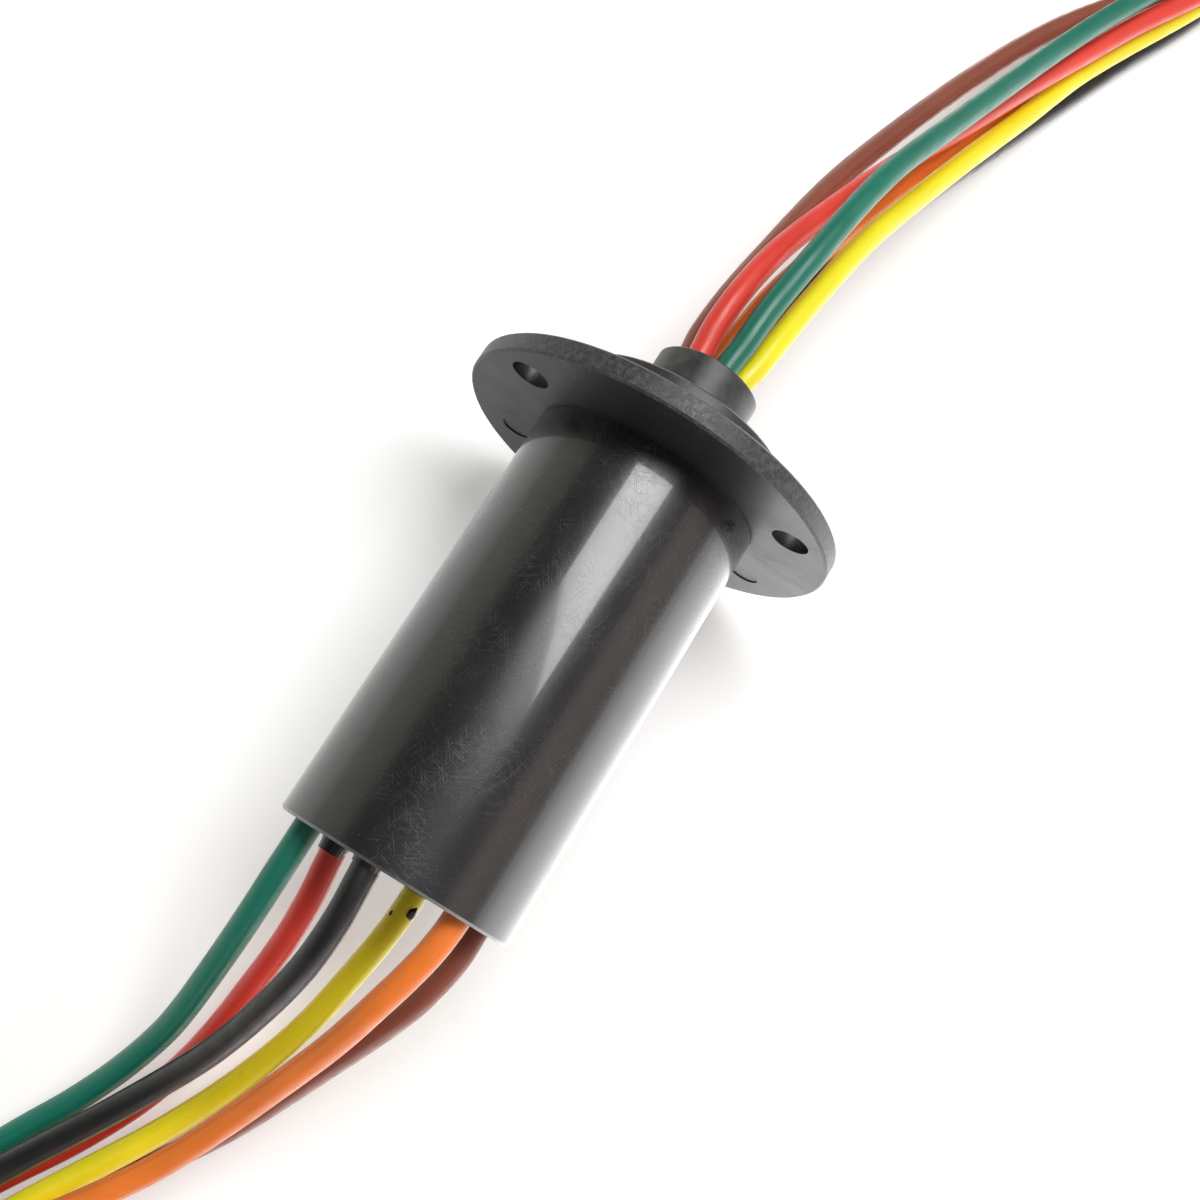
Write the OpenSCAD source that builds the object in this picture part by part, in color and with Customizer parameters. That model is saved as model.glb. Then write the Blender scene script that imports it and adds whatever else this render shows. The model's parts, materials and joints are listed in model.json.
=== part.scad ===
// Six-circuit capsule slip ring with a round mounting flange and six leads at each end.
// The rotation axis is X: barrel towards -X, turning spigot towards +X, +Z up.
// The origin lies on the axis, in the flange face that seats on a panel.

/* [Barrel] */
// Outside diameter of the barrel
barrel_d = 27; // [27:0.5:34]
// Length of the barrel behind the flange
barrel_len = 50; // [50:1:60]
// Wall of the barrel
barrel_wall = 1.5; // [1:0.1:1.6]
// Small bevel on the free end of the barrel
barrel_bevel = 0.3; // [0.1:0.1:0.6]

/* [Flange] */
// Outside diameter of the flange
flange_d = 45; // [44:0.5:56]
// Thickness of the flange
flange_t = 2.4; // [1.6:0.1:4]
// Bevel on both flange rims
flange_bevel = 0.25; // [0.1:0.05:0.5]
// Distance from the flange's rim to the middle of each mounting hole
hole_edge = 4; // [3:0.1:4.4]
// Diameter of each mounting hole
hole_d = 4.3; // [3.2:0.1:4.6]
// Diameter of the round moulding marks on the flange
mark_d = 3.6; // [2:0.1:4]
// Distance from the barrel to a moulding mark
mark_gap = 2.3; // [1:0.1:3]
// Depth of the moulding marks
mark_depth = 0.15; // [0.05:0.05:0.4]

/* [Nose] */
// Wall of the low boss around the front bearing
nose_wall = 2.7; // [1.5:0.1:3]
// Height of the boss above the flange
nose_len = 5.1; // [4.6:0.1:8]
// How far the front bearing sits below the face of the boss
nose_recess = 0.3; // [0.2:0.1:0.6]
// Clearance between the inner web and the shoulder that turns inside it
web_gap = 0.7; // [0.3:0.1:1]
// Thickness of the inner web that the front bearing seats on
web_t = 4.2; // [3.4:0.1:5]

/* [Rotor sleeve] */
// Wall of the turning spigot
spigot_wall = 1.5; // [1:0.1:1.8]
// Length of the spigot that stands out of the boss
spigot_len = 6.8; // [5:0.1:12]
// Wall of the sleeve under the contact rings
sleeve_wall = 1.2; // [0.8:0.1:1.4]
// Height of the step from the spigot up to the seat of the front bearing
seat_step = 1.2; // [0.6:0.1:1.4]
// Height of the shoulder that the front bearing seats against
shoulder_step = 0.8; // [0.5:0.1:1]
// Width of that shoulder
shoulder_w = 2; // [1:0.1:2.4]
// Thickness of the closed inner end of the sleeve's bore
sleeve_end = 2; // [1:0.1:3]
// Depth of the resin plug below the mouth of the spigot
plug_recess = 1; // [0.4:0.1:2]
// Length of the resin plug
plug_len = 3; // [2:0.5:5]

/* [Bearings] */
// Height of the front bearing's section, from its bore to its outside
front_section = 3; // [2.8:0.1:3.4]
// Width of the front bearing
front_w = 4; // [3.6:0.1:4.4]
// Bore of the rear bearing
rear_bore_d = 8; // [7.6:0.1:8.4]
// Width of the rear bearing
rear_w = 4; // [3.6:0.1:5]
// Diameter of the balls in both bearings
ball_d = 1.6; // [1.4:0.1:1.8]
// Running clearance between a ball and its grooves
ball_gap = 0.03; // [0.02:0.01:0.05]
// Space between the two races of a bearing
race_gap = 1; // [0.9:0.05:1.1]
// Thickness of the cage between the races
cage_t = 0.7; // [0.5:0.05:0.8]
// Length of the spacer between the rear bearing and the rings
spacer_len = 3; // [2:0.1:4]
// Thickness of the preload washer, and of the circlip beside it
washer_t = 0.5; // [0.4:0.05:0.8]

/* [Contact rings] */
// Wall of each contact ring
ring_wall = 1.5; // [1.2:0.1:1.6]
// Width of each contact ring
ring_w = 3; // [2.6:0.1:3.2]
// How far each insulating barrier stands out beyond the rings
barrier_rim = 0.7; // [0.3:0.05:0.8]
// Distance from the inner web to the first barrier
stack_gap = 3; // [2:0.1:4]
// Width of the nut that clamps the rings
nut_w = 2; // [1.5:0.1:2.4]
// Depth of the two brush grooves in each ring
groove_depth = 0.3; // [0.2:0.05:0.5]
// Width of each brush groove
groove_w = 0.7; // [0.6:0.05:0.8]
// Distance between the two grooves of one ring
groove_pitch = 1.4; // [1.2:0.1:1.6]

/* [Brushes] */
// Diameter of the spring wire that rides in a groove
brush_wire_d = 0.5; // [0.3:0.05:0.55]
// Clearance drawn between a brush wire and its groove
brush_gap = 0.04; // [0.02:0.01:0.08]
// Thickness of each brush board
board_t = 1; // [0.8:0.1:1.2]
// Height of the solder foot that carries a pair of brush wires
foot_h = 1; // [0.8:0.1:1]
// Length of that foot along the axis
foot_l = 2.6; // [2.2:0.1:2.8]
// Width of that foot across the board
foot_w = 1.6; // [1.2:0.1:1.8]
// Size of each solder joint on the ends of the boards
joint_size = 1; // [0.8:0.1:1.2]
// Diameter of the bare wires from the stator leads to the boards
link_d = 0.7; // [0.5:0.05:0.8]

/* [End cap] */
// Thickness of the end cap
cap_t = 2; // [1.5:0.1:3]
// Wall of the socket on the cap that holds the rear bearing
cap_socket_wall = 0.8; // [0.6:0.05:0.9]
// Thickness of the resin poured over the cap
resin_t = 2.5; // [1.5:0.1:3]
// How far the resin stays below the end of the barrel
resin_recess = 1; // [0.5:0.1:1.5]

/* [Leads] */
// Diameter of each lead over its insulation
lead_d = 2.9; // [2.6:0.05:2.95]
// Space between neighbouring leads where they enter the spigot
lead_spacing = 0.2; // [0.1:0.05:0.3]
// Space between the leads and the bore around them
lead_margin = 0.25; // [0.15:0.05:0.3]
// Diameter of the stripped and tinned conductor
tip_d = 1.6; // [1.2:0.1:1.8]
// Length of each stripped end
tip_len = 6; // [4:0.5:6]
// Diameter of the bare wires inside the sleeve
jumper_d = 1.6; // [1.2:0.1:1.8]

/* [Coils] */
// Space between the turns of a stored coil
turn_gap = 0.1; // [0.05:0.01:0.15]
// Inside radius of a stored coil
coil_r = 11; // [11:0.1:11.2]
// Width of the strap that ties a coil
strap_w = 4; // [3:0.5:6]
// Thickness of that strap
strap_t = 0.5; // [0.3:0.1:0.5]

/* [Hidden] */
$fn = 96;

ring_count = 6;
seat_gap = 0.02; // clearance between parts that are pressed or glued together
cut = 1; // how far a cutting solid runs past the face that it cuts

// Radii, from the leads outwards
rotor_circle_r = lead_d + lead_spacing; // the circle that the rotor leads lie on
sleeve_bore_r = rotor_circle_r + lead_d / 2 + lead_margin;
spigot_r = sleeve_bore_r + spigot_wall;
front_bore_r = spigot_r + seat_step;
shoulder_r = front_bore_r + shoulder_step;
web_bore_r = shoulder_r + web_gap;
front_r = front_bore_r + front_section;
nose_r = front_r + nose_wall;
core_r = sleeve_bore_r + sleeve_wall;
ring_r = core_r + ring_wall;
barrier_r = ring_r + barrier_rim;
body_r = core_r + 0.8 * ring_wall; // the collar that the rings are clamped against
board_y = barrier_r + foot_h; // inner face of each brush board

// Radii, from the barrel inwards
barrel_bore_r = barrel_d / 2 - barrel_wall;
stator_circle_r = barrel_bore_r - lead_d / 2 - 0.8 * lead_margin; // the circle that the stator leads lie on
socket_r = stator_circle_r - lead_d / 2 - 0.08; // outside of the socket for the rear bearing
rear_r = socket_r - cap_socket_wall - seat_gap;
cap_bore_r = rear_bore_d / 2 + 1.5;
board_reach = sqrt(pow(barrel_bore_r, 2) - pow(board_y + board_t, 2)) - 0.05;

// Stations along the axis, from front to back
nose_x = flange_t + nose_len;
spigot_x = nose_x + spigot_len;
front_x = nose_x - nose_recess - front_w; // rear face of the front bearing
web_x = front_x - web_t;
stack_x = web_x - stack_gap; // front face of the first barrier
plug_x = spigot_x - plug_recess;
jumper_x = web_x + joint_size; // where the insulated rotor leads end inside the sleeve
resin_x = -barrel_len + resin_recess;
cap_x = resin_x + resin_t;
washer_x = cap_x + cap_t;
rear_x = washer_x + washer_t; // rear face of the rear bearing
core_x = rear_x + rear_w + spacer_len; // rear end of the core
nut_x = core_x + 0.4; // rear face of the stack nut
board_x = core_x + joint_size;
lead_start_x = core_x - 1.5; // where the insulated stator leads end inside the barrel
journal_end_x = cap_x + 0.3;

// The barriers share the length that the rings leave between the collar and the nut
barrier_w = (stack_x - nut_x - nut_w - ring_count * ring_w) / (ring_count + 1);
ring_pitch = ring_w + barrier_w;

// The leads in the order of their routes below, sixty degrees apart around the axis
stator_colours = ["green", "black", "orange", "brown", "yellow", "red"];
rotor_colours = ["red", "green", "yellow", "black", "orange", "brown"];
lead_on_ring = [0, 2, 1, 4, 3, 5]; // which rotor lead each contact ring serves
function around(r, a) = [r * sin(a), r * cos(a)]; // angles run from +Z towards +Y
stator_exits = [for (k = [0:5]) around(stator_circle_r, 77 - 60 * k)];
rotor_exits = [for (k = [0:5]) around(rotor_circle_r, 45 - 60 * k)];
insulation = [
    ["green", "#1f6f5f"], ["black", "#262426"], ["orange", "#ff9548"],
    ["brown", "#8a5546"], ["yellow", "#f7ea3c"], ["red", "#e2574a"]
];
function shade(name) = [for (c = insulation) if (c[0] == name) c[1]][0];

// Routes of the leads after they leave the resin, straight on from their holes.
// Each ends in a straight run that meets the stored coil face to face.
stator_routes = [
    [[-55, 10.1, 1.7], [-61, 10.2, -1], [-68, 10.6, -5.5], [-75, 11.4, -10.2], [-82, 13.6, -14],
     [-88, 16.4, -16.2], [-94, 19.7, -17.2], [-102, 23, -17.5], [-112, 24.5, -17.5],
     [-134, 24.5, -17.5]],
    [[-55, 2.6, 9.2], [-61, 2.8, 6.3], [-67, 4, 1.5], [-73.5, 6, -4.5], [-80, 9, -9.6],
     [-87, 12.8, -12.8], [-94, 17, -14.1], [-102, 21.3, -14.5], [-112, 24.5, -14.5],
     [-134, 24.5, -14.5]],
    [[-54.5, -6.6, 6.8], [-61, -5.1, 4], [-67, -3.6, -0.8], [-74, -1.2, -6.2], [-81, 1.5, -10.6],
     [-88, 4.9, -13.4], [-95, 9.6, -14.5], [-103, 15.6, -14.5], [-111, 20, -14.5],
     [-118, 21.5, -14.5], [-134, 21.5, -14.5]],
    [[-54, -10, -2.8], [-59.5, -9, -5.2], [-64.5, -7.3, -8.8], [-70, -5.1, -13], [-76, -2.6, -17],
     [-82, 0.3, -19.6], [-88, 4.2, -20.9], [-95, 9.8, -21], [-103, 15.8, -20.9],
     [-111, 20.1, -20.6], [-118, 21.5, -20.5], [-134, 21.5, -20.5]],
    [[-55, -2.8, -10.3], [-61, -2, -12], [-67, -1, -14], [-73, 0.7, -16], [-80, 3.5, -17.8],
     [-87, 7.2, -18.3], [-94, 11.6, -18], [-102, 16.4, -17.6], [-110.5, 20.3, -17.5],
     [-118, 21.5, -17.5], [-134, 21.5, -17.5]],
    [[-55, 6.4, -8.2], [-61, 6.1, -10.6], [-68, 6.6, -14.6], [-76, 7.6, -18.4], [-84, 9.9, -20.5],
     [-92, 14, -21], [-102, 20.4, -20.9], [-112, 24.5, -20.5], [-134, 24.5, -20.5]]
];
rotor_routes = [
    [[18.5, 2.6, 2.5], [24, 2.4, 2.6], [32, 1.2, 1.4], [42, -1.5, -1.4], [54, -5.4, -4.7],
     [67, -10.4, -8.4], [80, -15.2, -11.8], [91, -19.7, -14], [102, -24.6, -15.2],
     [112, -30.1, -15], [120, -33.7, -14.6], [127, -35, -14.5], [138, -35, -14.5]],
    [[18.5, -1.2, 3.4], [24, -1.5, 4], [32, -2.5, 4.4], [41, -3.7, 3.4], [50, -5.4, 1.4],
     [61, -8.5, -2.2], [73, -12, -6], [86, -16, -9.6], [97, -20, -11.7], [107, -24.4, -13.1],
     [116, -28.8, -14.1], [124, -31.4, -14.5], [130, -32, -14.5], [138, -32, -14.5]],
    [[18.5, -3.8, 1], [25.5, -4.6, 0.4], [35, -5.9, -1.6], [43, -7.3, -3.8], [51, -9.3, -6.4],
     [65, -13.2, -11], [79, -17.5, -15], [90.5, -21, -17.2], [101, -25.5, -18.1],
     [111, -30.4, -17.9], [119.5, -33.8, -17.6], [127, -35, -17.5], [138, -35, -17.5]],
    [[19, -2.8, -3], [27, -3.8, -4.7], [38, -5.6, -8.2], [50, -8.2, -12], [62, -11.8, -15.6],
     [75, -16.4, -19], [88, -21.2, -20.9], [101, -26.4, -21], [111, -30.9, -20.9],
     [119.5, -33.9, -20.6], [127, -35, -20.5], [138, -35, -20.5]],
    [[19, 0.3, -3.4], [25, -0.4, -4], [32, -1.5, -5], [45.5, -4.9, -8], [55, -7.5, -10.5],
     [65, -10.6, -13], [77, -14, -15.6], [89, -17.4, -16.9], [100, -21.4, -17.5],
     [110, -26, -17.6], [119, -30.1, -17.5], [127, -32, -17.5], [138, -32, -17.5]],
    [[19, 3.5, -1], [26, 3.1, -1.5], [33, 2.2, -2.8], [46.5, 0.2, -5.8], [59, -2.7, -9.2],
     [75, -7.2, -13.8], [90, -12.4, -17.4], [101, -17.4, -19.6], [109, -22.2, -20.7],
     [117, -27.6, -20.8], [124, -31.2, -20.5], [130, -32, -20.5], [138, -32, -20.5]]
];

function stator_route(k) =
    concat([[lead_start_x, each stator_exits[k]], [resin_x, each stator_exits[k]]], stator_routes[k]);
function rotor_route(k) =
    concat([[jumper_x, each rotor_exits[k]], [plug_x, each rotor_exits[k]]], rotor_routes[k]);

// Stored coils: centre, and how far past one turn each column of leads runs
floor_z = -22.5;
coil_rows = 3;
coil_cols = 4;
turn_pitch = lead_d + turn_gap;
stator_coil_at = [-134, 3];
rotor_coil_at = [138, -13.5];
stator_tail = [250, 170]; // inner column, outer column
rotor_tail = [115, 45];
pocket_angle = 34; // room for a stripped end
strap_angle = -45;

// ---- Round profiles and small helpers -------------------------------------------------

// A solid of revolution about X from [x, r] outline points
module turned(points) {
    rotate([0, 90, 0])
        rotate_extrude()
            polygon([for (p = points) [p[1], p[0]]]);
}

// A plain tube about X
module tube_x(x0, x1, r_in, r_out) {
    turned([[x0, r_in], [x1, r_in], [x1, r_out], [x0, r_out]]);
}

module rod_x(x0, x1, r) {
    translate([x0, 0, 0])
        rotate([0, 90, 0])
            cylinder(h = x1 - x0, r = r);
}

// A rod between two points
module rod_between(p, q, r) {
    v = q - p;
    translate(p)
        rotate([0, acos(v[2] / norm(v)), atan2(v[1], v[0])])
            cylinder(h = norm(v), r = r, $fn = 32);
}

// ---- Housing --------------------------------------------------------------------------

module housing() {
    r = barrel_d / 2;
    rf = flange_d / 2;
    b = flange_bevel;
    e = barrel_bevel;
    color("#1c1c1d")
        difference() {
            turned([
                [-barrel_len, barrel_bore_r], [-barrel_len, r - e], [-barrel_len + e, r], [0, r],
                [0, rf - b], [b, rf], [flange_t - b, rf], [flange_t, rf - b],
                [flange_t, nose_r], [nose_x - b, nose_r], [nose_x, nose_r - b],
                [nose_x, front_r], [front_x, front_r],
                [front_x, web_bore_r], [web_x, web_bore_r], [web_x, barrel_bore_r]
            ]);
            for (a = [60, 180, 300])
                mounting_hole(a);
            for (a = [117, -117])
                moulding_mark(a);
        }
}

module mounting_hole(a) {
    p = around(flange_d / 2 - hole_edge, a);
    translate([0, p[0], p[1]])
        rod_x(-cut, flange_t + cut, hole_d / 2);
}

module moulding_mark(a) {
    p = around(barrel_d / 2 + mark_gap + mark_d / 2, a);
    translate([0, p[0], p[1]])
        rod_x(-cut, mark_depth, mark_d / 2);
}

// ---- End cap and resin ----------------------------------------------------------------

// Straight holes on the first stretch of each lead
module lead_holes(exits, x0, x1, r) {
    for (p = exits)
        translate([0, p[0], p[1]])
            rod_x(x0, x1, r);
}

module end_cap() {
    color("#2b2b2d")
        difference() {
            turned([
                [cap_x, cap_bore_r], [cap_x, barrel_bore_r - seat_gap],
                [washer_x, barrel_bore_r - seat_gap], [washer_x, socket_r],
                [rear_x + rear_w, socket_r], [rear_x + rear_w, rear_r + seat_gap],
                [washer_x, rear_r + seat_gap], [washer_x, cap_bore_r]
            ]);
            lead_holes(stator_exits, cap_x - cut, washer_x + cut, lead_d / 2 + 0.04);
        }
}

module end_resin() {
    color("#101012")
        difference() {
            rod_x(resin_x, cap_x, barrel_bore_r - seat_gap);
            lead_holes(stator_exits, resin_x - cut, cap_x + cut, lead_d / 2 + 0.01);
        }
}

// ---- Ball bearings --------------------------------------------------------------------

// The ring outline of a race with a groove for the balls
module race(x0, w, r_in, r_out, pitch_r) {
    rotate([0, 90, 0])
        rotate_extrude()
            difference() {
                translate([r_in, x0])
                    square([r_out - r_in, w]);
                translate([pitch_r, x0 + w / 2])
                    circle(r = ball_d / 2 + ball_gap, $fn = 48);
            }
}

module balls(x0, w, pitch_r, count) {
    for (k = [0:count - 1])
        rotate([360 * k / count, 0, 0])
            translate([x0 + w / 2, 0, pitch_r])
                sphere(r = ball_d / 2, $fn = 24);
}

// The flat ring that spaces the balls, with a round pocket for each
module cage(x0, w, pitch_r, count) {
    difference() {
        tube_x(x0 + 0.15 * w, x0 + 0.85 * w, pitch_r - cage_t / 2, pitch_r + cage_t / 2);
        for (k = [0:count - 1])
            rotate([360 * k / count, 0, 0])
                translate([x0 + w / 2, 0, pitch_r - cage_t])
                    cylinder(h = 2 * cage_t, r = ball_d / 2 + 2 * ball_gap, $fn = 32);
    }
}

front_pitch_r = (front_bore_r + front_r) / 2;
rear_pitch_r = (rear_bore_d / 2 + rear_r) / 2;
front_balls_n = 16;
rear_balls_n = 10;

module front_outer_race() {
    color("#b9bcc0")
        race(front_x, front_w, front_pitch_r + race_gap / 2, front_r - seat_gap, front_pitch_r);
}

module front_inner_race() {
    color("#b9bcc0")
        race(front_x, front_w, front_bore_r + seat_gap, front_pitch_r - race_gap / 2, front_pitch_r);
}

module front_balls() {
    color("#d6d8da")
        balls(front_x, front_w, front_pitch_r, front_balls_n);
}

module front_cage() {
    color("#c59b4a")
        cage(front_x, front_w, front_pitch_r, front_balls_n);
}

module rear_outer_race() {
    color("#b9bcc0")
        race(rear_x, rear_w, rear_pitch_r + race_gap / 2, rear_r, rear_pitch_r);
}

module rear_inner_race() {
    color("#b9bcc0")
        race(rear_x, rear_w, rear_bore_d / 2 + seat_gap, rear_pitch_r - race_gap / 2, rear_pitch_r);
}

module rear_balls() {
    color("#d6d8da")
        balls(rear_x, rear_w, rear_pitch_r, rear_balls_n);
}

module rear_cage() {
    color("#c59b4a")
        cage(rear_x, rear_w, rear_pitch_r, rear_balls_n);
}

// The washer bears on the outer race alone
module preload_washer() {
    color("#9da1a6")
        tube_x(washer_x, rear_x, rear_pitch_r + race_gap / 2 + 0.2, rear_r - 0.1);
}

// ---- Rotor ----------------------------------------------------------------------------

module rotor_sleeve() {
    journal_r = rear_bore_d / 2;
    rim = 0.2;
    color("#4a4b4e")
        difference() {
            turned([
                [journal_end_x, 0], [journal_end_x, journal_r], [core_x, journal_r],
                [core_x, core_r], [stack_x, core_r], [stack_x, body_r],
                [front_x - shoulder_w, body_r], [front_x - shoulder_w, shoulder_r],
                [front_x, shoulder_r], [front_x, front_bore_r],
                [front_x + front_w, front_bore_r], [front_x + front_w, spigot_r],
                [spigot_x - rim, spigot_r], [spigot_x, spigot_r - rim], [spigot_x, sleeve_bore_r],
                [core_x + sleeve_end, sleeve_bore_r], [core_x + sleeve_end, 0]
            ]);
            // Groove of the circlip behind the rear bearing
            tube_x(washer_x - seat_gap, rear_x, journal_r - clip_depth, journal_r + cut);
            // Ways through the wall for the tails of the contact rings
            for (k = [0:ring_count - 1])
                ring_tail(k, tail_r + 0.1, core_r + cut);
        }
}

clip_depth = washer_t; // depth of the circlip's groove
tail_r = ring_w / 5; // radius of the tail of each contact ring
function bare_wire_at(k) = [0, each rotor_exits[lead_on_ring[k]]];

// The radial tail that joins a contact ring to the bare wire of its circuit
module ring_tail(k, r, top) {
    p = bare_wire_at(k);
    foot = norm(p) + jumper_d / 2 - 0.02;
    rotate([atan2(-p[1], p[2]), 0, 0])
        translate([ring_x(k), 0, foot])
            cylinder(h = top - foot, r = r, $fn = 32);
}

module bearing_spacer() {
    color("#c9a24a")
        tube_x(rear_x + rear_w, core_x, rear_bore_d / 2 + seat_gap, rear_bore_d / 2 + 1);
}

module rotor_circlip() {
    slot_w = 2;
    color("#8f9398")
        difference() {
            tube_x(washer_x, rear_x - seat_gap, rear_bore_d / 2 - 0.9 * clip_depth, rear_bore_d / 2 + 1);
            translate([washer_x - cut, -slot_w / 2, 0])
                cube([washer_t + 2 * cut, slot_w, rear_bore_d]);
        }
}

module stack_nut() {
    color("#c4c6c8")
        tube_x(nut_x, nut_x + nut_w, core_r + seat_gap, barrier_r);
}

module spigot_resin() {
    color("#141416")
        difference() {
            rod_x(plug_x - plug_len, plug_x, sleeve_bore_r - seat_gap);
            lead_holes(rotor_exits, plug_x - plug_len - cut, plug_x + cut, lead_d / 2 + 0.01);
        }
}

// ---- Contact rings and barriers -------------------------------------------------------

function ring_x(k) = stack_x - barrier_w - k * ring_pitch - ring_w / 2;

module contact_ring(k) {
    x = ring_x(k);
    g = groove_w / 2;
    color("#d8a53a")
        union() {
            turned([
                [x - ring_w / 2, core_r + seat_gap], [x - ring_w / 2, ring_r],
                for (s = [-1, 1]) each [
                    [x + s * groove_pitch / 2 - g, ring_r],
                    [x + s * groove_pitch / 2 - g, ring_r - groove_depth],
                    [x + s * groove_pitch / 2 + g, ring_r - groove_depth],
                    [x + s * groove_pitch / 2 + g, ring_r]
                ],
                [x + ring_w / 2, ring_r], [x + ring_w / 2, core_r + seat_gap]
            ]);
            ring_tail(k, tail_r, core_r + ring_wall / 5);
        }
}

module barrier(k) {
    x = stack_x - k * ring_pitch - barrier_w;
    color("#e8e4d6")
        tube_x(x, x + barrier_w, core_r + seat_gap, barrier_r);
}

// ---- Brushes --------------------------------------------------------------------------

// Side of the barrel that circuit k is brushed from: +1 left, -1 right
function side(k) = k % 2 == 0 ? 1 : -1;
brush_r = ring_r - groove_depth + brush_gap + brush_wire_d / 2;
brush_z = board_reach - 1.3 * foot_w / 2; // height of the foot above the axis plane

module brush_board(s) {
    color("#2f6b3c")
        translate([board_x, s > 0 ? board_y : -board_y - board_t, -board_reach])
            cube([web_x - board_x, board_t, 2 * board_reach]);
}

module brush(k) {
    s = side(k);
    rw = brush_wire_d / 2;
    color("#e0bd62")
        union() {
            translate([ring_x(k) - foot_l / 2, s > 0 ? board_y - foot_h : -board_y, brush_z - foot_w / 2])
                cube([foot_l, foot_h, foot_w]);
            for (g = [-1, 1]) {
                x = ring_x(k) + g * groove_pitch / 2;
                rod_between([x, s * brush_r, -0.8 * brush_z], [x, s * brush_r, brush_z], rw);
                translate([x, s * brush_r, brush_z])
                    sphere(r = rw, $fn = 24);
                rod_between([x, s * brush_r, brush_z], [x, s * (board_y - foot_h / 2), brush_z], rw);
            }
        }
}

// Bare wires from the stator leads to solder joints on the ends of the boards
module stator_jumpers() {
    color("#c8b48c")
        for (k = [0:5])
            stator_jumper(k);
}

// Where each solder joint lies on the board of its side, as steps up from the middle
joint_step = [1, 2, 2, -1, -2, -2];
function joint_z(k) = joint_step[k] * board_reach * 0.37;

module stator_jumper(k) {
    p = [lead_start_x, each stator_exits[k]];
    s = p[1] > 0 ? 1 : -1;
    y = s * (board_y + board_t / 2);
    union() {
        rod_between(p + [0.15, 0, 0], [board_x - joint_size / 2, y, joint_z(k)], link_d / 2);
        translate([board_x - joint_size, y - board_t / 2, joint_z(k) - joint_size / 2])
            cube([joint_size, board_t, joint_size]);
    }
}

// Bare wires inside the sleeve, each to the tail of its contact ring
module rotor_jumpers() {
    color("#c8b48c")
        for (k = [0:ring_count - 1])
            translate(bare_wire_at(k))
                rod_x(ring_x(k) - tail_r, jumper_x, jumper_d / 2);
}

// ---- Leads ----------------------------------------------------------------------------

lead_sides = 8;
function unit(v) = v / norm(v);

// The route with a point added in the middle of each bend. The first and last stretches stay straight.
function smooth(path) =
    let (last = len(path) - 1)
    [for (i = [0:last])
        each i == last ? [path[i]] :
            i == 0 || i == last - 1 ? [path[i], (path[i] + path[i + 1]) / 2] :
            [path[i], (9 * (path[i] + path[i + 1]) - path[i - 1] - path[i + 2]) / 16]];
function heading(path, i) =
    unit(path[min(i + 1, len(path) - 1)] - path[max(i - 1, 0)]);
function loop_at(p, t, r) =
    let (across = unit(cross([0, 0, 1], t)), up = cross(t, across))
    [for (j = [0:lead_sides - 1])
        p + r * (cos(360 * j / lead_sides) * across + sin(360 * j / lead_sides) * up)];

module lead(route, name) {
    path = smooth(route);
    n = len(path);
    m = lead_sides;
    points = [for (i = [0:n - 1]) each loop_at(path[i], heading(path, i), lead_d / 2)];
    walls = [
        for (i = [0:n - 2], j = [0:m - 1])
            let (a = i * m + j, b = i * m + (j + 1) % m)
            each [[a, a + m, b], [b, a + m, b + m]]
    ];
    color(shade(name))
        polyhedron(
            points = points,
            faces = concat(
                walls,
                [[for (j = [0:m - 1]) j]],
                [[for (j = [m - 1:-1:0]) (n - 1) * m + j]]
            )
        );
}

// ---- Stored coils ---------------------------------------------------------------------

coil_h = coil_rows * turn_pitch;
coil_out_r = coil_r + coil_cols * turn_pitch;
coil_z = floor_z + strap_t;
function column_r(c) = coil_r + (c + 0.5) * turn_pitch; // 0 is the innermost column

// Places a coil so that its leads arrive along +X on its -Y side, or the other way round
module coil_place(at, flip) {
    translate([at[0], at[1], 0])
        rotate([0, 0, flip ? 90 : -90])
            mirror([0, 1, 0])
                children();
}

// The outer shape of the turns, with room for the arriving leads and the stripped ends
module coil(tail) {
    color("#6d5f58")
        difference() {
            translate([0, 0, coil_z])
                rotate_extrude()
                    translate([coil_r, 0])
                        square([coil_out_r - coil_r, coil_h]);
            translate([coil_r + 2 * turn_pitch - 0.03, 0, coil_z - cut])
                cube([coil_out_r, coil_out_r + cut, coil_h + 2 * cut]);
            for (c = [0, 1])
                rotate([0, 0, -tail[c] - pocket_angle])
                    translate([0, 0, coil_z - cut])
                        rotate_extrude(angle = pocket_angle)
                            translate([column_r(c) - turn_pitch / 2 - (c == 0 ? cut : 0), 0])
                                square([turn_pitch + (c == 0 ? cut : 0), coil_h + 2 * cut]);
        }
}

module strap() {
    r0 = coil_r - strap_t;
    r1 = coil_out_r + strap_t;
    gap = 0.04;
    wide = 2 * asin(strap_w / 2 / ((r0 + r1) / 2));
    color("#17171a")
        rotate([0, 0, strap_angle - wide / 2])
            rotate_extrude(angle = wide)
                difference() {
                    translate([r0, coil_z - strap_t])
                        square([r1 - r0, coil_h + 2 * strap_t]);
                    translate([coil_r - gap, coil_z - gap])
                        square([coil_out_r - coil_r + 2 * gap, coil_h + 2 * gap]);
                }
}

// Stripped ends, each lying where its lead's turn stops
module tips(tail) {
    color("#c9ccd0")
        for (c = [0, 1], row = [0:coil_rows - 1]) {
            r = column_r(c);
            start = -tail[c] - 0.25 * 180 / (PI * r);
            stop = start - 2 * asin(tip_len / 2 / r);
            z = coil_z + (row + 0.5) * turn_pitch;
            rod_between(
                [r * cos(start), r * sin(start), z],
                [r * cos(stop), r * sin(stop), z],
                tip_d / 2
            );
        }
}

// ---- The parts ------------------------------------------------------------------------

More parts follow.
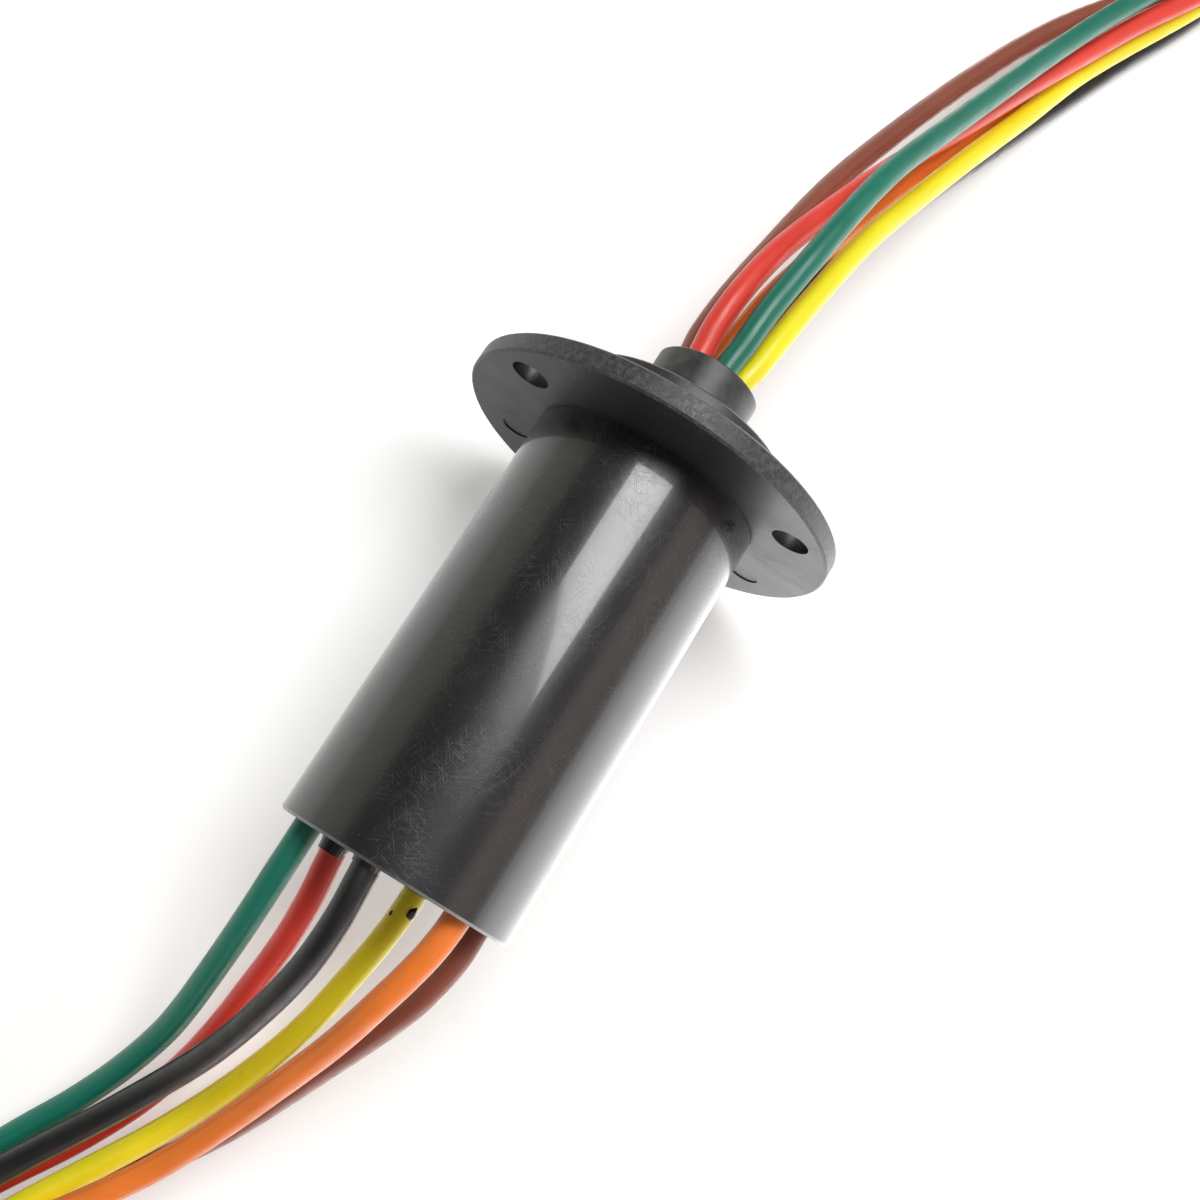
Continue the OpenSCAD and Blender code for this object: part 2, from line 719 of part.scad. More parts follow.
housing();
end_cap();
end_resin();
front_outer_race();  // front_bearing_outer_race
front_inner_race();  // front_bearing_inner_race
front_balls();  // front_bearing_balls
front_cage();  // front_bearing_cage
rear_outer_race();  // rear_bearing_outer_race
rear_inner_race();  // rear_bearing_inner_race
rear_balls();  // rear_bearing_balls
rear_cage();  // rear_bearing_cage
preload_washer();
rotor_sleeve();
bearing_spacer();
rotor_circlip();
stack_nut();
contact_ring(0);  // ring_1
contact_ring(1);  // ring_2
contact_ring(2);  // ring_3
contact_ring(3);  // ring_4
contact_ring(4);  // ring_5
contact_ring(5);  // ring_6
barrier(0);  // barrier_1
barrier(1);  // barrier_2
barrier(2);  // barrier_3
barrier(3);  // barrier_4
barrier(4);  // barrier_5
barrier(5);  // barrier_6
barrier(6);  // barrier_7
brush_board(1);  // brush_board_left
brush_board(-1);  // brush_board_right
brush(0);  // brush_1
brush(1);  // brush_2
brush(2);  // brush_3
brush(3);  // brush_4
brush(4);  // brush_5
brush(5);  // brush_6
stator_jumpers();
rotor_jumpers();
spigot_resin();
lead(stator_route(0), "green");  // stator_lead_green
lead(stator_route(1), "black");  // stator_lead_black
lead(stator_route(2), "orange");  // stator_lead_orange
lead(stator_route(3), "brown");  // stator_lead_brown
lead(stator_route(4), "yellow");  // stator_lead_yellow
lead(stator_route(5), "red");  // stator_lead_red
lead(rotor_route(0), "red");  // rotor_lead_red
lead(rotor_route(1), "green");  // rotor_lead_green
lead(rotor_route(2), "yellow");  // rotor_lead_yellow
lead(rotor_route(3), "black");  // rotor_lead_black
lead(rotor_route(4), "orange");  // rotor_lead_orange
lead(rotor_route(5), "brown");  // rotor_lead_brown
coil_place(stator_coil_at, true) coil(stator_tail);  // stator_coil
coil_place(rotor_coil_at, false) coil(rotor_tail);  // rotor_coil
coil_place(stator_coil_at, true) strap();  // stator_strap
coil_place(rotor_coil_at, false) strap();  // rotor_strap
coil_place(stator_coil_at, true) tips(stator_tail);  // stator_tips
coil_place(rotor_coil_at, false) tips(rotor_tail);  // rotor_tips
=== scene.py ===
"""Looks of a capsule slip ring: glossy black housing, turning spigot and twelve coloured leads."""

import json
import math
import random

import bmesh
import bpy
from mathutils import Matrix, Vector


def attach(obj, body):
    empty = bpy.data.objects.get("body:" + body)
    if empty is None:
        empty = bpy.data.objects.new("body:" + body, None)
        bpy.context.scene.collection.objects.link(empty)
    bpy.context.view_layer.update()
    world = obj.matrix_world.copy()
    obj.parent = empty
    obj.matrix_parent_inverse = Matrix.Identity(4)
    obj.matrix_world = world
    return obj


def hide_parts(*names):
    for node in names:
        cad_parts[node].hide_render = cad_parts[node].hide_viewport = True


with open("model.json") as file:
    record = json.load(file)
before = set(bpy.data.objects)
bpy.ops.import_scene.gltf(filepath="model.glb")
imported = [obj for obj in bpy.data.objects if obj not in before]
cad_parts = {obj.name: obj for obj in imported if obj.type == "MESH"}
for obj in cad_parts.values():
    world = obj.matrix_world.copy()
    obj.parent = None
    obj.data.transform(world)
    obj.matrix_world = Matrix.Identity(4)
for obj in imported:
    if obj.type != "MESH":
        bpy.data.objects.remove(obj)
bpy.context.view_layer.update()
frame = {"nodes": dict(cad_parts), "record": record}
nodes = frame["nodes"]

MM = 0.001
FLOOR_Z = -22.5 * MM

# ---- Camera ------------------------------------------------------------------------------


def make_camera():
    """Looks down on the barrel at the photograph's angle, a little behind the flange."""
    place = Vector((-49.25, 2.57, 141.72)) * MM
    ahead = Vector((0.2419, -0.0365, -0.9696)).normalized()
    right = Vector((0.5145, -0.8424, 0.1601)).normalized()
    up = right.cross(ahead).normalized()
    turn = Matrix((right, up, -ahead)).transposed().to_4x4()
    data = bpy.data.cameras.new("camera")
    data.sensor_width = 36
    data.lens = 40.6
    data.clip_start = 0.005
    camera = bpy.data.objects.new("camera", data)
    camera.matrix_world = Matrix.Translation(place) @ turn
    bpy.context.scene.collection.objects.link(camera)
    bpy.context.scene.camera = camera


make_camera()

# ---- Cords -------------------------------------------------------------------------------

LEAD_D = 2.9
COLOURS = ("green", "black", "orange", "brown", "yellow", "red")

# Where the leads start inside, where they leave the resin, and the circle they lie on
STATOR_START, STATOR_EXIT, STATOR_CIRCLE = -38.5, -49, 10.35
ROTOR_START, ROTOR_EXIT, ROTOR_CIRCLE = 0, 13.3, 3.1

# The angle of each exit from +Z towards +Y, then the route to the stored coil, in mm
STATOR_ROUTES = {
    "green": (77, [
        (-55, 10.1, 1.7), (-61, 10.2, -1), (-68, 10.6, -5.5), (-75, 11.4, -10.2), (-82, 13.6, -14),
        (-88, 16.4, -16.2), (-94, 19.7, -17.2), (-102, 23, -17.5), (-112, 24.5, -17.5),
        (-134, 24.5, -17.5)]),
    "black": (17, [
        (-55, 2.6, 9.2), (-61, 2.8, 6.3), (-67, 4, 1.5), (-73.5, 6, -4.5), (-80, 9, -9.6),
        (-87, 12.8, -12.8), (-94, 17, -14.1), (-102, 21.3, -14.5), (-112, 24.5, -14.5),
        (-134, 24.5, -14.5)]),
    "orange": (-43, [
        (-54.5, -6.6, 6.8), (-61, -5.1, 4), (-67, -3.6, -0.8), (-74, -1.2, -6.2), (-81, 1.5, -10.6),
        (-88, 4.9, -13.4), (-95, 9.6, -14.5), (-103, 15.6, -14.5), (-111, 20, -14.5),
        (-118, 21.5, -14.5), (-134, 21.5, -14.5)]),
    "brown": (-103, [
        (-54, -10, -2.8), (-59.5, -9, -5.2), (-64.5, -7.3, -8.8), (-70, -5.1, -13),
        (-76, -2.6, -17), (-82, 0.3, -19.6), (-88, 4.2, -20.9), (-95, 9.8, -21),
        (-103, 15.8, -20.9), (-111, 20.1, -20.6), (-118, 21.5, -20.5), (-134, 21.5, -20.5)]),
    "yellow": (-163, [
        (-55, -2.8, -10.3), (-61, -2, -12), (-67, -1, -14), (-73, 0.7, -16), (-80, 3.5, -17.8),
        (-87, 7.2, -18.3), (-94, 11.6, -18), (-102, 16.4, -17.6), (-110.5, 20.3, -17.5),
        (-118, 21.5, -17.5), (-134, 21.5, -17.5)]),
    "red": (-223, [
        (-55, 6.4, -8.2), (-61, 6.1, -10.6), (-68, 6.6, -14.6), (-76, 7.6, -18.4),
        (-84, 9.9, -20.5), (-92, 14, -21), (-102, 20.4, -20.9), (-112, 24.5, -20.5),
        (-134, 24.5, -20.5)]),
}
ROTOR_ROUTES = {
    "red": (45, [
        (18.5, 2.6, 2.5), (24, 2.4, 2.6), (32, 1.2, 1.4), (42, -1.5, -1.4), (54, -5.4, -4.7),
        (67, -10.4, -8.4), (80, -15.2, -11.8), (91, -19.7, -14), (102, -24.6, -15.2),
        (112, -30.1, -15), (120, -33.7, -14.6), (127, -35, -14.5), (138, -35, -14.5)]),
    "green": (-15, [
        (18.5, -1.2, 3.4), (24, -1.5, 4), (32, -2.5, 4.4), (41, -3.7, 3.4), (50, -5.4, 1.4),
        (61, -8.5, -2.2), (73, -12, -6), (86, -16, -9.6), (97, -20, -11.7), (107, -24.4, -13.1),
        (116, -28.8, -14.1), (124, -31.4, -14.5), (130, -32, -14.5), (138, -32, -14.5)]),
    "yellow": (-75, [
        (18.5, -3.8, 1), (25.5, -4.6, 0.4), (35, -5.9, -1.6), (43, -7.3, -3.8), (51, -9.3, -6.4),
        (65, -13.2, -11), (79, -17.5, -15), (90.5, -21, -17.2), (101, -25.5, -18.1),
        (111, -30.4, -17.9), (119.5, -33.8, -17.6), (127, -35, -17.5), (138, -35, -17.5)]),
    "black": (-135, [
        (19, -2.8, -3), (27, -3.8, -4.7), (38, -5.6, -8.2), (50, -8.2, -12), (62, -11.8, -15.6),
        (75, -16.4, -19), (88, -21.2, -20.9), (101, -26.4, -21), (111, -30.9, -20.9),
        (119.5, -33.9, -20.6), (127, -35, -20.5), (138, -35, -20.5)]),
    "orange": (-195, [
        (19, 0.3, -3.4), (25, -0.4, -4), (32, -1.5, -5), (45.5, -4.9, -8), (55, -7.5, -10.5),
        (65, -10.6, -13), (77, -14, -15.6), (89, -17.4, -16.9), (100, -21.4, -17.5),
        (110, -26, -17.6), (119, -30.1, -17.5), (127, -32, -17.5), (138, -32, -17.5)]),
    "brown": (-255, [
        (19, 3.5, -1), (26, 3.1, -1.5), (33, 2.2, -2.8), (46.5, 0.2, -5.8), (59, -2.7, -9.2),
        (75, -7.2, -13.8), (90, -12.4, -17.4), (101, -17.4, -19.6), (109, -22.2, -20.7),
        (117, -27.6, -20.8), (124, -31.2, -20.5), (130, -32, -20.5), (138, -32, -20.5)]),
}

# Stored coils. A lead's turns start at one of the two outer columns and end two columns inwards.
COLUMN_STEP = 6
INNER_START, OUTER_START = 18.5, 21.5
STATOR_COIL, ROTOR_COIL = Vector((-134, 3)), Vector((138, -13.5))
STATOR_TAIL = {INNER_START: 250, OUTER_START: 170}  # degrees past one full turn
ROTOR_TAIL = {INNER_START: 115, OUTER_START: 45}
JOG = (230, 350)  # where a turn moves two columns inwards


def smooth(path):
    """The route with a point added in the middle of each bend, its end stretches kept straight."""
    out = []
    for i in range(len(path) - 1):
        middle = (path[i] + path[i + 1]) / 2
        if 0 < i < len(path) - 2:
            middle = (9 * (path[i] + path[i + 1]) - path[i - 1] - path[i + 2]) / 16
        out += [path[i], middle]
    return out + [path[-1]]


def turn_radius(start, angle):
    """How far from the coil's centre a lead lies after so many degrees of winding."""
    part = min(max((angle - JOG[0]) / (JOG[1] - JOG[0]), 0), 1)
    return start - COLUMN_STEP * part * part * (3 - 2 * part)


def turns(centre, flip, start, z, tail, step=15):
    """Points along the turns of one lead, anticlockwise from above."""
    count = math.ceil((360 + tail) / step)
    first = math.pi / 2 if flip else -math.pi / 2
    out = []
    for i in range(1, count + 1):
        wound = (360 + tail) * i / count
        r = turn_radius(start, wound)
        a = first + math.radians(wound)
        out.append(Vector((centre.x + r * math.cos(a), centre.y + r * math.sin(a), z)))
    return out


def lead_path(side, colour):
    """The whole line of a lead in mm, from inside the housing to the end of its insulation."""
    stator = side == "stator"
    angle, route = (STATOR_ROUTES if stator else ROTOR_ROUTES)[colour]
    r = STATOR_CIRCLE if stator else ROTOR_CIRCLE
    y, z = r * math.sin(math.radians(angle)), r * math.cos(math.radians(angle))
    xs = (STATOR_START, STATOR_EXIT) if stator else (ROTOR_START, ROTOR_EXIT)
    path = smooth([Vector((x, y, z)) for x in xs] + [Vector(p) for p in route])
    centre = STATOR_COIL if stator else ROTOR_COIL
    start = round((path[-1].xy - centre).length, 1)
    tail = (STATOR_TAIL if stator else ROTOR_TAIL)[start]
    return path + turns(centre, stator, start, path[-1].z, tail)


def bend_through(spline, points, radius):
    """Gives a Bezier spline handles that carry it evenly through its points."""
    last = len(points) - 1
    spline.bezier_points.add(last)
    for i, p in enumerate(points):
        before, after = points[max(i - 1, 0)], points[min(i + 1, last)]
        along = (after - before).normalized()
        point = spline.bezier_points[i]
        point.co = p
        point.handle_left = p - along * (p - before).length / 3
        point.handle_right = p + along * (after - p).length / 3
        point.radius = radius


def tube(name, points, diameter, rings=5, sides=4):
    """A round tube along points in mm."""
    curve = bpy.data.curves.new(name, "CURVE")
    curve.dimensions = "3D"
    curve.resolution_u = rings
    curve.bevel_depth = 1  # times the radius at each point
    curve.bevel_resolution = sides
    curve.use_fill_caps = True
    bend_through(curve.splines.new("BEZIER"), [p * MM for p in points], diameter / 2 * MM)
    obj = bpy.data.objects.new(name, curve)
    bpy.context.scene.collection.objects.link(obj)
    return obj


leads = {}
for side in ("stator", "rotor"):
    for colour in COLOURS:
        points = lead_path(side, colour)
        lead = tube(f"{side}_{colour}_lead", points, LEAD_D)
        leads[side, colour] = lead
        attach(lead, side)
        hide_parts(f"{side}_lead_{colour}")
    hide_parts(f"{side}_coil")

# ---- Materials ---------------------------------------------------------------------------


def srgb(r, g, b):
    """A colour as it looks on screen, 0 to 255, turned into the linear values of a shader."""
    def lin(v):
        v /= 255
        return v / 12.92 if v <= 0.04045 else ((v + 0.055) / 1.055) ** 2.4
    return (lin(r), lin(g), lin(b), 1)


class Finish:
    """A node material under construction. Patterns are in millimetres of the row frame."""

    def __init__(self, name, roughness=0.5, metallic=0.0, specular=0.5):
        self.material = bpy.data.materials.new(name)
        self.material.use_nodes = True
        self.tree = self.material.node_tree
        self.shader = self.tree.nodes["Principled BSDF"]
        self.shader.inputs["Roughness"].default_value = roughness
        self.shader.inputs["Metallic"].default_value = metallic
        self.shader.inputs["Specular IOR Level"].default_value = specular
        self.height = None
        coords = self.add("ShaderNodeTexCoord")
        self.mm = self.maths("MULTIPLY", coords.outputs["Object"], 1000, vector=True)

    def add(self, kind, **settings):
        node = self.tree.nodes.new(kind)
        for key, value in settings.items():
            setattr(node, key, value)
        return node

    def link(self, value, socket):
        if hasattr(value, "is_linked"):
            self.tree.links.new(value, socket)
        else:
            socket.default_value = value

    def maths(self, operation, a, b=None, c=None, vector=False):
        node = self.add("ShaderNodeVectorMath" if vector else "ShaderNodeMath", operation=operation)
        for value, socket in zip((a, b, c), node.inputs):
            if value is not None:
                if vector and isinstance(value, (int, float)):
                    value = (value, value, value)
                self.link(value, socket)
        return node.outputs[0]

    def noise(self, size, detail=3, roughness=0.5, stretch=(1, 1, 1), shift=(0, 0, 0)):
        """Noise with features of about that many mm, drawn out along each axis by stretch."""
        place = self.maths("ADD", self.mm, shift, vector=True)
        place = self.maths("DIVIDE", place, tuple(size * s for s in stretch), vector=True)
        node = self.add("ShaderNodeTexNoise")
        self.link(place, node.inputs["Vector"])
        self.link(1.0, node.inputs["Scale"])
        self.link(detail, node.inputs["Detail"])
        self.link(roughness, node.inputs["Roughness"])
        return node.outputs["Fac"]

    def ramp(self, value, low, high, out_low=0.0, out_high=1.0):
        node = self.add("ShaderNodeMapRange", interpolation_type="SMOOTHSTEP")
        for v, key in ((value, "Value"), (low, "From Min"), (high, "From Max"),
                       (out_low, "To Min"), (out_high, "To Max")):
            self.link(v, node.inputs[key])
        return node.outputs["Result"]

    def scratches(self, angle, length=4.5, width=0.07, keep=0.7, shift=(0, 0, 0)):
        """Thin marks, mostly in one direction, on the round of the barrel, 0 to 1."""
        bent = self.maths("MULTIPLY", self.noise_vector(6), (1.2, 1.2, 0), vector=True)
        turned = self.add("ShaderNodeVectorRotate", rotation_type="AXIS_ANGLE")
        self.link(self.maths("ADD", self.unrolled(), bent, vector=True), turned.inputs["Vector"])
        turned.inputs["Axis"].default_value = (0, 0, 1)
        turned.inputs["Angle"].default_value = math.radians(angle)
        place = self.maths("ADD", turned.outputs[0], shift, vector=True)
        place = self.maths("DIVIDE", place, (length, width, 1), vector=True)
        node = self.add("ShaderNodeTexNoise")
        self.link(place, node.inputs["Vector"])
        node.inputs["Scale"].default_value = 1
        node.inputs["Detail"].default_value = 0
        return self.ramp(node.outputs["Fac"], keep, keep + 0.06)

    def noise_vector(self, size):
        node = self.add("ShaderNodeTexNoise")
        self.link(self.maths("DIVIDE", self.mm, size, vector=True), node.inputs["Vector"])
        node.inputs["Scale"].default_value = 1
        node.inputs["Detail"].default_value = 1
        return node.outputs["Color"]

    def unrolled(self):
        """Distance along the axis and around it, in mm, for marks on round surfaces."""
        if not hasattr(self, "_unrolled"):
            split = self.add("ShaderNodeSeparateXYZ")
            self.link(self.mm, split.inputs[0])
            angle = self.maths("ARCTAN2", split.outputs["Y"], split.outputs["Z"])
            join = self.add("ShaderNodeCombineXYZ")
            self.link(split.outputs["X"], join.inputs["X"])
            self.link(self.maths("MULTIPLY", angle, 13.5), join.inputs["Y"])
            self._unrolled = join.outputs[0]
        return self._unrolled

    def axial(self):
        """Place along the axis and distance from it, in mm."""
        split = self.add("ShaderNodeSeparateXYZ")
        self.link(self.mm, split.inputs[0])
        y, z = split.outputs["Y"], split.outputs["Z"]
        squares = self.maths("ADD", self.maths("MULTIPLY", y, y), self.maths("MULTIPLY", z, z))
        return split.outputs["X"], self.maths("SQRT", squares)

    def mix(self, factor, a, b):
        node = self.add("ShaderNodeMix", data_type="RGBA")
        self.link(factor, node.inputs["Factor"])
        self.link(a, node.inputs[6])
        self.link(b, node.inputs[7])
        return node.outputs[2]

    def colour(self, value):
        self.link(value, self.shader.inputs["Base Color"])

    def rough(self, value):
        self.link(value, self.shader.inputs["Roughness"])

    def raise_by(self, value, distance):
        """Adds relief of that many mm to the surface."""
        node = self.add("ShaderNodeBump")
        node.inputs["Strength"].default_value = 1
        node.inputs["Distance"].default_value = distance * MM
        self.link(value, node.inputs["Height"])
        if self.height is not None:
            self.link(self.height, node.inputs["Normal"])
        self.height = node.outputs["Normal"]
        self.link(self.height, self.shader.inputs["Normal"])


def shade(colour, factor):
    return tuple(c * factor for c in colour[:3]) + (1,)


def housing_finish():
    """Glossy black moulding, hazed by fine scratches and dust, with a scuffed satin flange."""
    f = Finish("housing_moulding", specular=0.6)
    x, r = f.axial()
    on_flange = f.ramp(x, -0.4, -0.1)
    rim = f.ramp(r, 21.85, 22.3)
    edge = f.ramp(x, -49.85, -49.65, 1, 0)
    cloud = f.noise(7, detail=4, stretch=(2, 1, 1))
    drawn = f.noise(0.16, detail=2, stretch=(60, 1, 1))
    marks = f.scratches(18)
    for angle, length, shift in ((-38, 3, (31, 7, 3)), (66, 3.5, (11, 53, 9)), (-74, 2.5, (77, 15, 1))):
        marks = f.maths("MAXIMUM", marks, f.scratches(angle, length, shift=shift))
    marks = f.maths("MULTIPLY", marks, f.ramp(f.noise(9, detail=2, shift=(4, 4, 40)), 0.4, 0.6, 0.15, 1))
    dust = f.ramp(f.noise(0.16, detail=1, shift=(5, 5, 5)), 0.74, 0.79)
    grit = f.noise(0.22, detail=4, roughness=0.65)
    wear = f.maths("MULTIPLY", f.maths("MAXIMUM", rim, edge), f.ramp(f.noise(0.6, detail=5, roughness=0.7), 0.4, 0.7))
    base = f.mix(f.ramp(cloud, 0.35, 0.7), srgb(18, 18, 19), srgb(24, 24, 24))
    base = f.mix(f.maths("MULTIPLY", on_flange, 0.7), base, srgb(42, 42, 44))
    base = f.mix(f.maths("MULTIPLY", marks, 0.22), base, srgb(90, 90, 90))
    base = f.mix(f.maths("MULTIPLY", dust, 0.5), base, srgb(150, 150, 146))
    f.colour(f.mix(f.maths("MULTIPLY", wear, 0.4), base, srgb(104, 104, 103)))
    rough = f.maths("ADD", f.ramp(cloud, 0.3, 0.7, 0.24, 0.3), f.maths("MULTIPLY", marks, 0.2))
    rough = f.maths("ADD", rough, f.maths("MULTIPLY", on_flange, 0.14))
    f.rough(f.maths("ADD", rough, f.maths("MULTIPLY", wear, 0.1)))
    f.link(f.ramp(on_flange, 0, 1, 0.5, 0.0), f.shader.inputs["Coat Weight"])
    f.shader.inputs["Coat Roughness"].default_value = 0.07
    f.raise_by(drawn, 0.0015)
    f.raise_by(f.maths("MULTIPLY", marks, -1), 0.002)
    f.raise_by(f.maths("MULTIPLY", on_flange, grit), 0.015)
    f.raise_by(f.maths("MULTIPLY", wear, grit), 0.04)
    return f.material


def turned_finish(name, light, dark, roughness, metallic=0.0, line=0.12, depth=0.01):
    """Turned stock: fine rings around the axis over a mottled colour."""
    f = Finish(name, metallic=metallic)
    rings = f.noise(line, detail=4, roughness=0.7, stretch=(1, 900, 900))
    blotch = f.noise(1.6, detail=4)
    f.colour(f.mix(f.maths("MULTIPLY", rings, f.ramp(blotch, 0.25, 0.75)), dark, light))
    f.rough(f.maths("ADD", f.ramp(rings, 0.3, 0.7, roughness - 0.08, roughness + 0.08),
                    f.maths("MULTIPLY", blotch, 0.1)))
    f.raise_by(rings, depth)
    return f.material


def moulded_finish(name, colour, roughness, grain=0.25, depth=0.006, spread=0.15, metallic=0.0):
    """Moulded, cast or plated stock: fine grain, cloudy colour and uneven gloss."""
    f = Finish(name, metallic=metallic)
    cloud = f.noise(grain * 12, detail=4)
    fine = f.noise(grain, detail=4, roughness=0.6)
    f.colour(f.mix(f.ramp(cloud, 0.3, 0.7), shade(colour, 1 - spread), shade(colour, 1 + spread)))
    f.rough(f.ramp(f.noise(grain * 6, shift=(9, 2, 4)), 0.25, 0.75, roughness - 0.08, roughness + 0.1))
    f.raise_by(fine, depth)
    return f.material


def lead_finish(colour_name, colour, grime):
    """Extruded insulation: a slight drag along its length, faint mottling and soft gloss."""
    f = Finish("insulation_" + colour_name, specular=0.5)
    drag = f.noise(0.5, detail=4, roughness=0.6, stretch=(9, 1, 1))
    cloud = f.noise(7, detail=3, stretch=(2, 1, 1), shift=(3, 8, 1))
    base = f.mix(f.ramp(cloud, 0.3, 0.7), shade(colour, 0.92), shade(colour, 1.06))
    base = f.mix(f.ramp(drag, 0.55, 0.8, 0, 0.22), base, shade(colour, 0.78))
    specks = f.ramp(f.noise(0.3, detail=2, shift=(17, 4, 8)), 0.72, 0.78, 0, 0.5)
    f.colour(f.mix(specks, base, grime))
    f.rough(f.ramp(f.noise(1.1, detail=3, stretch=(3, 1, 1)), 0.3, 0.7, 0.3, 0.45))
    f.raise_by(drag, 0.02)
    f.raise_by(f.noise(2.5, detail=1, stretch=(3, 1, 1)), 0.05)
    return f.material


def brushed_finish(name, colour, roughness, scratch=0.05):
    """Ground or drawn metal with short uneven marks."""
    f = Finish(name, metallic=1.0)
    marks = f.noise(scratch, detail=5, roughness=0.7, stretch=(1, 14, 14))
    cloud = f.noise(1.2, detail=3)
    f.colour(f.mix(f.ramp(marks, 0.3, 0.75), shade(colour, 0.8), colour))
    f.rough(f.maths("ADD", f.ramp(marks, 0.3, 0.7, roughness - 0.08, roughness + 0.08),
                    f.maths("MULTIPLY", cloud, 0.1)))
    f.raise_by(marks, 0.004)
    return f.material


def board_finish():
    """Glass-cloth laminate: green, with the weave just showing."""
    f = Finish("board_laminate", roughness=0.42)
    weave = f.add("ShaderNodeTexChecker")
    f.link(f.mm, weave.inputs["Vector"])
    weave.inputs["Scale"].default_value = 2.2
    weave.inputs["Color1"].default_value = srgb(38, 104, 56)
    weave.inputs["Color2"].default_value = srgb(45, 116, 62)
    f.colour(f.mix(f.ramp(f.noise(2.2), 0.3, 0.8, 0, 0.6), weave.outputs["Color"], srgb(28, 84, 44)))
    f.raise_by(weave.outputs["Fac"], 0.01)
    return f.material


GRIME = srgb(60, 52, 46)
FINISHES = {
    "housing_moulding": housing_finish(),
    "cap_plastic": moulded_finish("cap_plastic", srgb(48, 48, 49), 0.5),
    "casting_resin": moulded_finish("casting_resin", srgb(26, 25, 26), 0.2, grain=0.8, depth=0.03),
    "bearing_steel": turned_finish("bearing_steel", srgb(205, 207, 210), srgb(150, 152, 156), 0.28, 1.0),
    "ball_steel": brushed_finish("ball_steel", srgb(225, 227, 230), 0.12, scratch=0.03),
    "cage_brass": brushed_finish("cage_brass", srgb(205, 168, 92), 0.35),
    "spring_steel": brushed_finish("spring_steel", srgb(150, 152, 156), 0.35),
    "sleeve_plastic": turned_finish("sleeve_plastic", srgb(84, 84, 84), srgb(40, 40, 41), 0.36),
    "nut_aluminium": turned_finish("nut_aluminium", srgb(220, 221, 224), srgb(170, 171, 175), 0.35, 1.0),
    "board_laminate": board_finish(),
    "tinned_wire": brushed_finish("tinned_wire", srgb(208, 206, 200), 0.38, scratch=0.08),
    "contact_gold": turned_finish("contact_gold", srgb(238, 196, 104), srgb(196, 150, 66), 0.22, 1.0, line=0.08),
    "barrier_plastic": moulded_finish("barrier_plastic", srgb(226, 220, 204), 0.45, spread=0.05),
    "brush_gold": brushed_finish("brush_gold", srgb(228, 188, 104), 0.28),
    "strap_plastic": moulded_finish("strap_plastic", srgb(40, 40, 42), 0.48, grain=0.35, depth=0.03),
}
INSULATION = {
    "green": srgb(14, 112, 92), "black": srgb(20, 19, 20), "orange": srgb(246, 128, 44),
    "brown": srgb(142, 78, 60), "yellow": srgb(246, 232, 26), "red": srgb(228, 62, 48),
}
for colour, value in INSULATION.items():
    FINISHES["insulation_" + colour] = lead_finish(colour, value, GRIME)


def dress(obj, slot):
    """Gives a piece the finish of one of the record's material slots."""
    obj.data.materials.clear()
    obj.data.materials.append(FINISHES[slot])
    return obj


slot_of = {part["node"]: part["material_slot"] for part in frame["record"]["subparts"]}
for name, node in nodes.items():
    if slot_of[name] in FINISHES:
        dress(node, slot_of[name])
for (side, colour), lead in leads.items():
    dress(lead, "insulation_" + colour)

# ---- Resin at the exits ------------------------------------------------------------------


def mesh_piece(name, body, slot, build):
    """A new smooth mesh piece, built in mm by build(bm)."""
    bm = bmesh.new()
    build(bm)
    bmesh.ops.scale(bm, vec=(MM, MM, MM), verts=bm.verts)
    bmesh.ops.recalc_face_normals(bm, faces=bm.faces)
    mesh = bpy.data.meshes.new(name)
    bm.to_mesh(mesh)
    bm.free()
    for face in mesh.polygons:
        face.use_smooth = True
    obj = bpy.data.objects.new(name, mesh)
    bpy.context.scene.collection.objects.link(obj)
    dress(obj, slot)
    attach(obj, body)
    return obj


def ring_of(bm, centre, radii, x, sides):
    """A closed loop of vertices around the X direction, each with its own radius."""
    loop = []
    for i in range(sides):
        a = 2 * math.pi * i / sides
        loop.append(bm.verts.new((x, centre.y + radii[i] * math.cos(a), centre.z + radii[i] * math.sin(a))))
    return loop


def bridge(bm, first, second):
    for i in range(len(first)):
        j = (i + 1) % len(first)
        bm.faces.new((first[i], first[j], second[j], second[i]))


def collar(bm, centre, face_x, direction, height, seed, sides=28):
    """Resin that has crept up a lead: a hollow cone with an uneven edge."""
    rng = random.Random(seed)
    waves = [(rng.uniform(0.03, 0.12), rng.uniform(0, 6.3), n) for n in (2, 3, 5)]
    def swell(i):
        a = 2 * math.pi * i / sides
        return 1 + sum(size * math.sin(n * a + turn) for size, turn, n in waves)
    loops = []
    for part in (0, 0.15, 0.35, 0.6, 0.85, 1):
        spread = 0.75 * (1 - part) ** 2.2 + 0.05
        radii = [LEAD_D / 2 + spread * swell(i) for i in range(sides)]
        loops.append(ring_of(bm, centre, radii, face_x + direction * height * part, sides))
    for first, second in zip(loops, loops[1:]):
        bridge(bm, first, second)


def resin_collars(side, heights):
    stator = side == "stator"
    for colour, height in heights.items():
        angle = (STATOR_ROUTES if stator else ROTOR_ROUTES)[colour][0]
        r = STATOR_CIRCLE if stator else ROTOR_CIRCLE
        x = STATOR_EXIT if stator else ROTOR_EXIT
        centre = Vector((x, r * math.sin(math.radians(angle)), r * math.cos(math.radians(angle))))
        mesh_piece(f"{side}_{colour}_resin_collar", side, "casting_resin",
                   lambda bm: collar(bm, centre, x, -1 if stator else 1, height, f"{side}{colour}"))


resin_collars("stator", {"green": 0.8, "black": 1.5, "orange": 0.9, "brown": 0.7, "yellow": 1.2, "red": 2.4})
resin_collars("rotor", {"green": 0.6, "black": 0.5, "orange": 0.6, "brown": 0.5, "yellow": 0.7, "red": 0.6})


